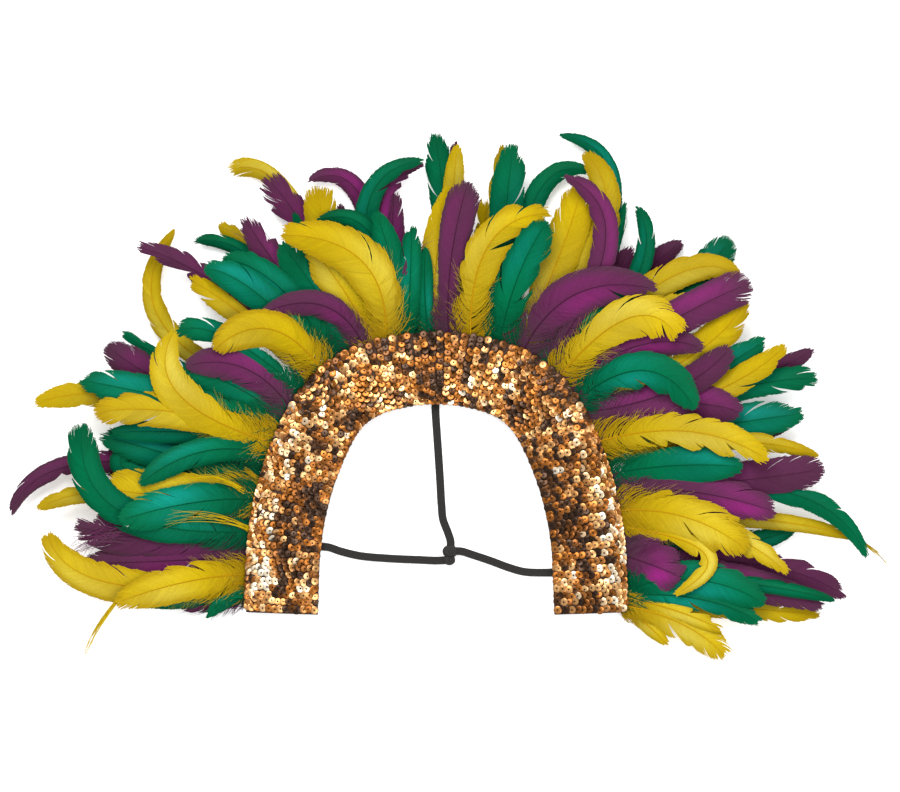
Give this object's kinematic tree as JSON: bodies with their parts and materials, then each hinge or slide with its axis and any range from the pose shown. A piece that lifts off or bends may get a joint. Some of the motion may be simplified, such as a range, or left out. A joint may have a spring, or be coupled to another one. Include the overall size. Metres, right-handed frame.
{
  "type": "carnival feather headdress",
  "caption": "Arched sequin headband with a fan of dyed rooster feathers behind it and a tied elastic strap inside the arch, lying on its back.",
  "frame": {"origin": "on the flat back of the band, at the middle of the crown", "axes": "+Z out of the sequin side, +Y from the leg ends to the crown, +X to the right as seen from the sequin side"},
  "size_m": [0.6411, 0.3945, 0.0442],
  "materials": {
    "sequin_gold": "metallised cup sequins sewn in strings on brown cloth",
    "feather_yellow": "dyed feather, satin vane with fine barbs",
    "feather_green": "dyed feather, satin vane with fine barbs",
    "feather_purple": "dyed feather, satin vane with fine barbs",
    "elastic_black": "flat ribbed elastic"
  },
  "bodies": {
    "root": {"sequin_band": "sequin_gold", "feather_row_back": "feather_purple", "feather_row_middle": "feather_green", "feather_row_front": "feather_yellow", "crown_strap": "elastic_black", "side_strap_left": "elastic_black", "side_strap_right": "elastic_black", "strap_knot": "elastic_black"}
  },
  "joints": []
}
